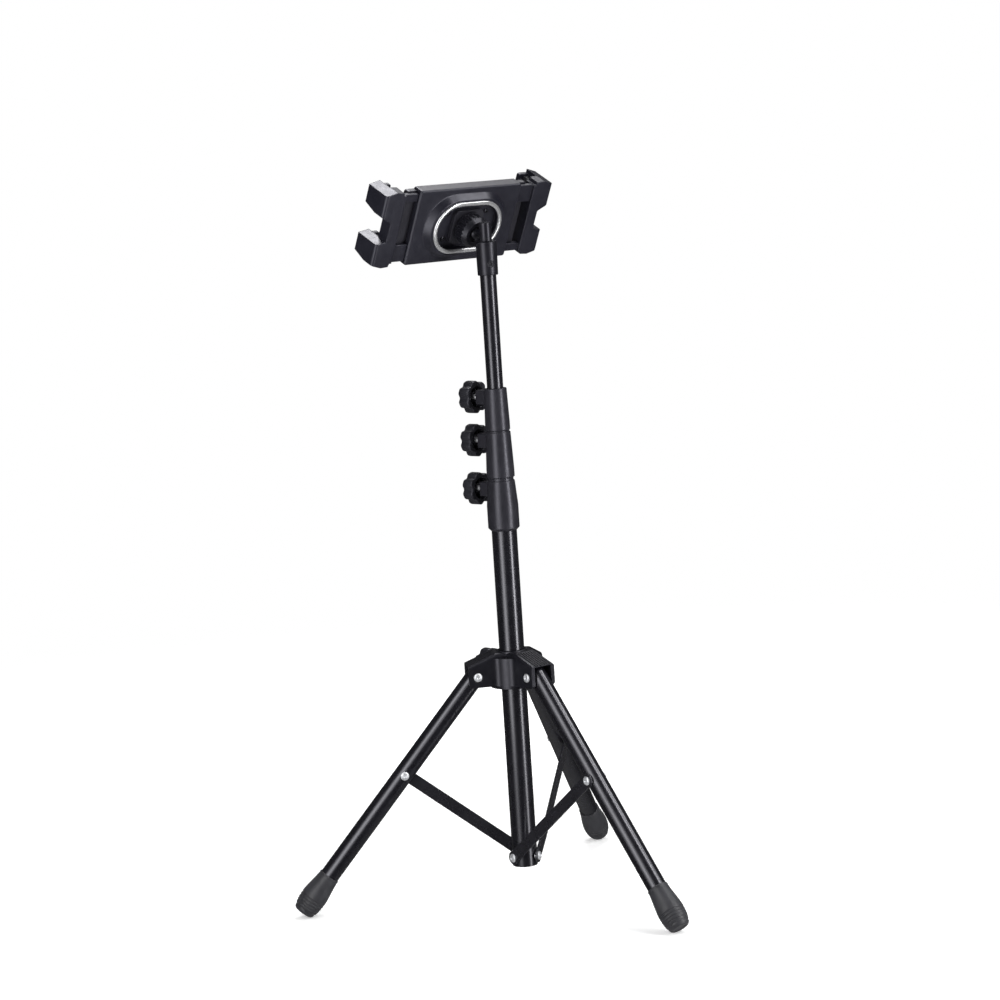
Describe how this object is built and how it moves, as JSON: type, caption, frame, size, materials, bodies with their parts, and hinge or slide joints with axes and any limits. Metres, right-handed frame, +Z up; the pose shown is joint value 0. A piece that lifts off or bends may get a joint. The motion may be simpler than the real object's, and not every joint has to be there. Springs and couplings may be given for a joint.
{
  "type": "tablet floor tripod stand",
  "caption": "Folding three-leg floor stand with telescopic pole, star clamping knobs and a ball-jointed two-arm clamp for a tablet.",
  "frame": {"origin": "on the floor under the pole axis, between the three feet", "axes": "+Z up the pole, -Y towards the user, whom the device's screen faces, +X to the right of that user, who looks along +Y"},
  "size_m": [0.4056, 0.3543, 0.7189],
  "materials": {
    "black_steel": "gloss black enamel",
    "black_plastic": "satin moulded",
    "knob_plastic": "satin moulded",
    "rubber": "matt",
    "zinc": "bright zinc plate",
    "bright_trim": "satin chrome",
    "black_metal": "satin black"
  },
  "bodies": {
    "mast": {"main_tube": "black_steel", "collar_lower": "black_plastic", "base_rivets": "zinc"},
    "hub": {"hub": "black_plastic", "hub_rivets": "zinc"},
    "hub_lock": {"hub_knob": "knob_plastic", "hub_stud": "zinc"},
    "tube_2": {"tube_2": "black_steel", "tube_2_plug": "black_plastic", "collar_middle": "black_plastic"},
    "tube_3": {"tube_3": "black_steel", "tube_3_plug": "black_plastic", "collar_upper": "black_plastic"},
    "tube_4": {"tube_4": "black_steel", "tube_4_plug": "black_plastic"},
    "lower_lock": {"lower_knob": "knob_plastic", "lower_stud": "zinc"},
    "middle_lock": {"middle_knob": "knob_plastic", "middle_stud": "zinc"},
    "upper_lock": {"upper_knob": "knob_plastic", "upper_stud": "zinc"},
    "head": {"head_sleeve": "black_metal", "set_screw": "zinc", "ball_post": "black_metal"},
    "ball_nut": {"ball_nut": "black_plastic"},
    "holder": {"ball_socket": "black_plastic", "back_cover": "black_plastic", "trim_ring": "bright_trim", "cover_screws": "zinc", "front_plate": "black_plastic", "front_pads": "rubber"},
    "arm_right": {"arm_right": "black_plastic", "arm_right_pads": "rubber"},
    "arm_left": {"arm_left": "black_plastic", "arm_left_pads": "rubber"},
    "leg_1": {"leg_1": "black_steel", "boot_1": "rubber", "leg_rivet_1": "zinc"},
    "strut_1": {"strut_1": "black_steel", "strut_rivet_1": "zinc"},
    "leg_2": {"leg_2": "black_steel", "boot_2": "rubber", "leg_rivet_2": "zinc"},
    "strut_2": {"strut_2": "black_steel", "strut_rivet_2": "zinc"},
    "leg_3": {"leg_3": "black_steel", "boot_3": "rubber", "leg_rivet_3": "zinc"},
    "strut_3": {"strut_3": "black_steel", "strut_rivet_3": "zinc"}
  },
  "joints": [
    {"name": "hub_slide", "type": "slide", "parent": "mast", "child": "hub", "axis": [0, 0, 1], "range_m": [0, 0.07934]},
    {"name": "leg_1_fold", "type": "hinge", "parent": "hub", "child": "leg_1", "pos_m": [0, 0.0375, 0.22669], "axis": [-1, 0, 0], "range_deg": [0, 40.37]},
    {"name": "strut_1_fold", "type": "hinge", "parent": "mast", "child": "strut_1", "pos_m": [0.0141, 0, 0.0403], "axis": [1, 0, 0], "range_deg": [0, 36.43]},
    {"name": "leg_2_fold", "type": "hinge", "parent": "hub", "child": "leg_2", "pos_m": [-0.03248, -0.01875, 0.22669], "axis": [0.5, -0.866, 0], "range_deg": [0, 40.37]},
    {"name": "strut_2_fold", "type": "hinge", "parent": "mast", "child": "strut_2", "pos_m": [-0.00705, 0.01221, 0.0403], "axis": [-0.5, 0.866, 0], "range_deg": [0, 36.43]},
    {"name": "leg_3_fold", "type": "hinge", "parent": "hub", "child": "leg_3", "pos_m": [0.03248, -0.01875, 0.22669], "axis": [0.5, 0.866, 0], "range_deg": [0, 40.37]},
    {"name": "strut_3_fold", "type": "hinge", "parent": "mast", "child": "strut_3", "pos_m": [-0.00705, -0.01221, 0.0403], "axis": [-0.5, -0.866, 0], "range_deg": [0, 36.43]},
    {"name": "hub_lock_turn", "type": "hinge", "parent": "hub", "child": "hub_lock", "pos_m": [0, -0.03, 0.2315], "axis": [0, -1, 0], "range_deg": [0, 540]},
    {"name": "tube_2_slide", "type": "slide", "parent": "mast", "child": "tube_2", "axis": [0, 0, 1], "range_m": [0, 0.3]},
    {"name": "tube_3_slide", "type": "slide", "parent": "tube_2", "child": "tube_3", "axis": [0, 0, 1], "range_m": [0, 0.3]},
    {"name": "tube_4_slide", "type": "slide", "parent": "tube_3", "child": "tube_4", "axis": [0, 0, 1], "range_m": [-0.11, 0.19]},
    {"name": "lower_lock_turn", "type": "hinge", "parent": "mast", "child": "lower_lock", "pos_m": [0.00521, -0.02954, 0.4096], "axis": [0.1736, -0.9848, 0], "range_deg": [0, 540]},
    {"name": "middle_lock_turn", "type": "hinge", "parent": "tube_2", "child": "middle_lock", "pos_m": [0.00521, -0.02954, 0.4576], "axis": [0.1736, -0.9848, 0], "range_deg": [0, 540]},
    {"name": "upper_lock_turn", "type": "hinge", "parent": "tube_3", "child": "upper_lock", "pos_m": [0.00521, -0.02954, 0.5005], "axis": [0.1736, -0.9848, 0], "range_deg": [0, 540]},
    {"name": "head_pan", "type": "hinge", "parent": "tube_4", "child": "head", "pos_m": [0, 0, 0.64], "axis": [0, 0, 1], "continuous": true},
    {"name": "head_tilt", "type": "hinge", "parent": "head", "child": "ball_nut", "pos_m": [0, -0.0172, 0.6619], "axis": [1, 0, 0], "range_deg": [-3.4, 31.6]},
    {"name": "holder_roll", "type": "hinge", "parent": "ball_nut", "child": "holder", "pos_m": [0, -0.0172, 0.6619], "axis": [0, -0.8942, 0.4478], "continuous": true},
    {"name": "arm_right_slide", "type": "slide", "parent": "holder", "child": "arm_right", "axis": [1, 0, 0], "range_m": [-0.005, 0.025]},
    {"name": "arm_left_slide", "type": "slide", "parent": "holder", "child": "arm_left", "axis": [-1, 0, 0], "range_m": [-0.005, 0.025]}
  ],
  "couplings": [
    {"joint": "leg_1_fold", "follows": "hub_slide", "rad_per_m": 8.8784},
    {"joint": "strut_1_fold", "follows": "hub_slide", "rad_per_m": 8.012},
    {"joint": "leg_2_fold", "follows": "hub_slide", "rad_per_m": 8.8784},
    {"joint": "strut_2_fold", "follows": "hub_slide", "rad_per_m": 8.012},
    {"joint": "leg_3_fold", "follows": "hub_slide", "rad_per_m": 8.8784},
    {"joint": "strut_3_fold", "follows": "hub_slide", "rad_per_m": 8.012},
    {"joint": "arm_left_slide", "follows": "arm_right_slide", "ratio": 1}
  ]
}
